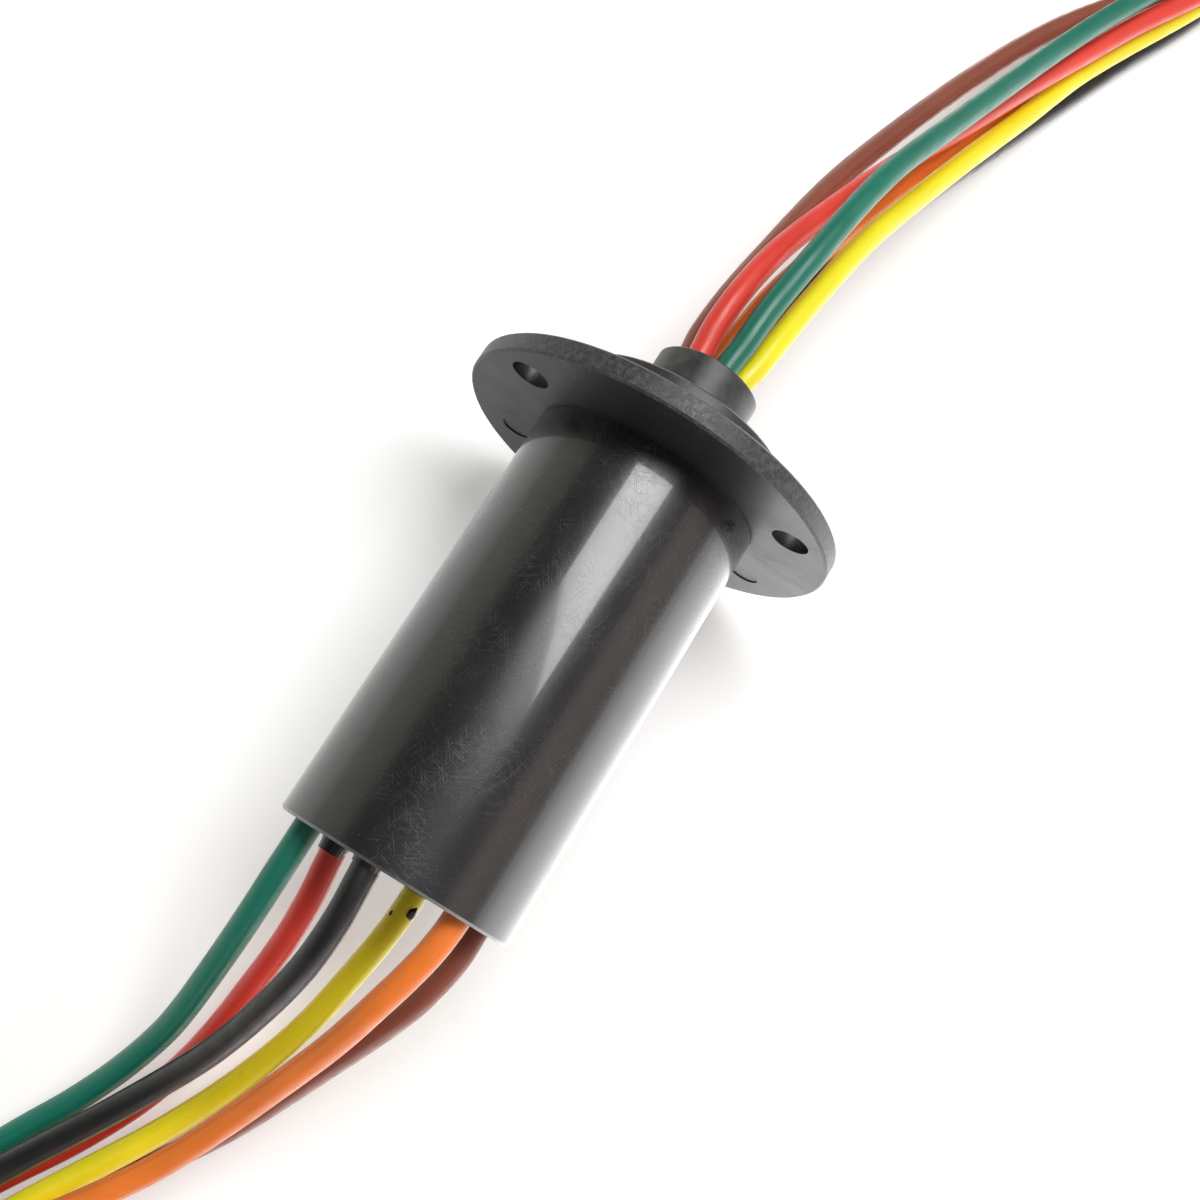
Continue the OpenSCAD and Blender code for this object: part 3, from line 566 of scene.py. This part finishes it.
def drop(bm, place, outward, along, size, seed):
    """A set drop of resin that lies on a lead, flattened and slightly uneven."""
    rng = random.Random(seed)
    across = outward.cross(along).normalized()
    geometry = bmesh.ops.create_uvsphere(bm, u_segments=20, v_segments=12, radius=1)
    for v in geometry["verts"]:
        uneven = 1 + 0.12 * math.sin(3 * v.co.x + rng.random() * 0.2) + 0.08 * math.sin(5 * v.co.y)
        v.co = place + size * uneven * (along * v.co.x * 1.25 + across * v.co.y * 0.9 + outward * v.co.z * 0.42)


def drops_on(side, colour, spots):
    """Drops on a lead, each at a place along its route, tilted off the top, with its size in mm."""
    path = lead_path(side, colour)
    def build(bm):
        for i, (index, tilt, size) in enumerate(spots):
            low = int(index)
            place = path[low].lerp(path[low + 1], index - low)
            along = (path[low + 1] - path[low]).normalized()
            top = (Vector((0, 0, 1)) - along * along.z).normalized()
            outward = Matrix.Rotation(math.radians(tilt), 3, along) @ top
            drop(bm, place + outward * LEAD_D / 2 * 0.97, outward, along, size, f"{colour}{i}")
    mesh_piece(f"{side}_{colour}_resin_drops", side, "casting_resin", build)


drops_on("stator", "yellow", [(2.95, -40, 0.62), (3.35, 48, 0.26)])

# ---- Stripped ends -----------------------------------------------------------------------


def strands(bm, start, end, radius, count=7, steps=10, sides=6):
    """A twist of bare strands around a straight core, from start to end."""
    axis = end - start
    along = axis.normalized()
    across = along.cross(Vector((0, 0, 1))).normalized()
    up = across.cross(along)
    thin = radius / 3
    for s in range(count):
        off = 0 if s == 0 else radius - thin
        loops = []
        for i in range(steps + 1):
            part = i / steps
            a = 2 * math.pi * s / (count - 1) + part * math.radians(150)
            middle = start + axis * part + off * (math.cos(a) * across + math.sin(a) * up)
            loop = []
            for j in range(sides):
                b = 2 * math.pi * j / sides
                loop.append(bm.verts.new(middle + thin * (math.cos(b) * across + math.sin(b) * up)))
            loops.append(loop)
        for first, second in zip(loops, loops[1:]):
            bridge(bm, first, second)
        bm.faces.new(loops[0])
        bm.faces.new(loops[-1])


def stripped_ends(side):
    stator = side == "stator"
    centre = STATOR_COIL if stator else ROTOR_COIL
    tails = STATOR_TAIL if stator else ROTOR_TAIL
    first = math.pi / 2 if stator else -math.pi / 2
    def build(bm):
        for column, tail in tails.items():
            r = column - COLUMN_STEP
            for z in (-20.5, -17.5, -14.5):
                begin = first + math.radians(tail + 360) - 0.3 / r
                finish = first + math.radians(tail + 360) + 2 * math.asin(3 / r)
                a = Vector((centre.x + r * math.cos(begin), centre.y + r * math.sin(begin), z))
                b = Vector((centre.x + r * math.cos(finish), centre.y + r * math.sin(finish), z))
                strands(bm, a, b, 0.8)
    piece = mesh_piece(f"{side}_stripped_ends", side, "tinned_wire", build)
    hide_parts(f"{side}_tips")
    return piece


# ---- Floor, lights and surroundings ------------------------------------------------------


def make_floor():
    """A level white table top. What the camera and the gloss see of it is brighter than its light; its glow in glossy
    rays is a painted reflection, brightest on the -Y side.
    """
    mesh = bpy.data.meshes.new("floor")
    size = 3
    mesh.from_pydata([(-size, -size, FLOOR_Z), (size, -size, FLOOR_Z), (size, size, FLOOR_Z), (-size, size, FLOOR_Z)],
                     [], [(0, 1, 2, 3)])
    floor = bpy.data.objects.new("floor", mesh)
    bpy.context.scene.collection.objects.link(floor)
    material = bpy.data.materials.new("table_top")
    material.use_nodes = True
    tree = material.node_tree
    shader = tree.nodes["Principled BSDF"]
    shader.inputs["Base Color"].default_value = (0.86, 0.86, 0.85, 1)
    shader.inputs["Roughness"].default_value = 0.9
    shader.inputs["Specular IOR Level"].default_value = 0.1
    rays = tree.nodes.new("ShaderNodeLightPath")
    glow = tree.nodes.new("ShaderNodeEmission")
    seen = tree.nodes.new("ShaderNodeMath")
    seen.operation = "MULTIPLY"
    seen.inputs[1].default_value = 0.3
    tree.links.new(rays.outputs["Is Camera Ray"], seen.inputs[0])
    place = tree.nodes.new("ShaderNodeTexCoord")
    split = tree.nodes.new("ShaderNodeSeparateXYZ")
    tree.links.new(place.outputs["Object"], split.inputs[0])
    # Painted reflection: glossy rays see the floor glow at 1.9 on the -Y side and 0.3 on the +Y side, above what its
    # light gives it.
    side = tree.nodes.new("ShaderNodeMapRange")
    side.interpolation_type = "SMOOTHSTEP"
    for key, value in (("From Min", -0.02), ("From Max", 0.02), ("To Min", 1.9), ("To Max", 0.3)):
        side.inputs[key].default_value = value
    tree.links.new(split.outputs["Y"], side.inputs["Value"])
    gloss = tree.nodes.new("ShaderNodeMath")
    gloss.operation = "MULTIPLY_ADD"
    tree.links.new(rays.outputs["Is Glossy Ray"], gloss.inputs[0])
    tree.links.new(side.outputs["Result"], gloss.inputs[1])
    tree.links.new(seen.outputs[0], gloss.inputs[2])
    tree.links.new(gloss.outputs[0], glow.inputs["Strength"])
    both = tree.nodes.new("ShaderNodeAddShader")
    tree.links.new(shader.outputs[0], both.inputs[0])
    tree.links.new(glow.outputs[0], both.inputs[1])
    tree.links.new(both.outputs[0], tree.nodes["Material Output"].inputs["Surface"])
    mesh.materials.append(material)


def make_lamp(name, azimuth, elevation, distance, width, height, power, colour=(1, 1, 1)):
    """A soft lamp that faces the object from a direction in degrees, azimuth from +X towards +Y."""
    a, e = math.radians(azimuth), math.radians(elevation)
    away = Vector((math.cos(e) * math.cos(a), math.cos(e) * math.sin(a), math.sin(e)))
    data = bpy.data.lights.new(name, "AREA")
    data.shape = "RECTANGLE"
    data.size, data.size_y = width, height
    data.energy = power
    data.color = colour
    lamp = bpy.data.objects.new(name, data)
    lamp.location = away * distance
    lamp.rotation_euler = away.to_track_quat("Z", "Y").to_euler()
    bpy.context.scene.collection.objects.link(lamp)
    return lamp


# What surrounds the table: angle from overhead towards +Y, brightness and tint
SURROUNDINGS = (
    (-180, 1.9, (1, 1, 0.97)), (-84, 1.9, (1, 1, 0.97)), (-80, 0.55, (1, 0.98, 0.93)),
    (-74, 0.55, (1, 0.97, 0.92)), (-70, 0.85, (1, 0.82, 0.79)), (-56, 1.15, (1, 0.8, 0.79)),
    (-48, 0.9, (1, 0.84, 0.84)), (-45, 0.34, (1, 0.98, 0.96)), (-25, 0.3, (1, 1, 1)),
    (20, 0.26, (0.97, 1, 0.97)), (40, 0.16, (0.95, 1, 0.96)), (54, 0.2, (1, 1, 0.95)),
    (62, 0.6, (1, 1, 0.9)), (80, 0.72, (1, 1, 0.88)), (180, 0.6, (1, 1, 0.9)),
)


def make_world():
    """The room: darker overhead, a pale wall low on the +Y side, a window low on the -Y side."""
    world = bpy.data.worlds.new("room")
    bpy.context.scene.world = world
    world.use_nodes = True
    tree = world.node_tree
    back = tree.nodes["Background"]
    coords = tree.nodes.new("ShaderNodeTexCoord")
    split = tree.nodes.new("ShaderNodeSeparateXYZ")
    tree.links.new(coords.outputs["Generated"], split.inputs[0])
    turn = tree.nodes.new("ShaderNodeMath")
    turn.operation = "ARCTAN2"
    tree.links.new(split.outputs["Y"], turn.inputs[0])
    tree.links.new(split.outputs["Z"], turn.inputs[1])
    part = tree.nodes.new("ShaderNodeMapRange")
    part.inputs["From Min"].default_value = -math.pi
    part.inputs["From Max"].default_value = math.pi
    tree.links.new(turn.outputs[0], part.inputs["Value"])
    ramp = tree.nodes.new("ShaderNodeValToRGB")
    stops = ramp.color_ramp.elements
    while len(stops) < len(SURROUNDINGS):
        stops.new(0.5)
    top = max(level for _, level, _ in SURROUNDINGS)
    for stop, (angle, level, tint) in zip(stops, SURROUNDINGS):
        stop.position = (angle + 180) / 360
        stop.color = [level / top * c for c in tint] + [1]
    tree.links.new(part.outputs["Result"], ramp.inputs["Fac"])
    tree.links.new(ramp.outputs["Color"], back.inputs["Color"])
    back.inputs["Strength"].default_value = top
    plain = tree.nodes.new("ShaderNodeBackground")
    plain.inputs["Color"].default_value = (1, 1, 1, 1)
    rays = tree.nodes.new("ShaderNodeLightPath")
    either = tree.nodes.new("ShaderNodeMixShader")
    tree.links.new(rays.outputs["Is Camera Ray"], either.inputs["Fac"])
    tree.links.new(back.outputs[0], either.inputs[1])
    tree.links.new(plain.outputs[0], either.inputs[2])
    tree.links.new(either.outputs[0], tree.nodes["World Output"].inputs["Surface"])


for side in ("stator", "rotor"):
    stripped_ends(side)
make_floor()
make_lamp("key", -10, 70, 0.6, 0.38, 0.22, 2.8)
make_world()
bpy.context.scene.view_settings.view_transform = "Standard"
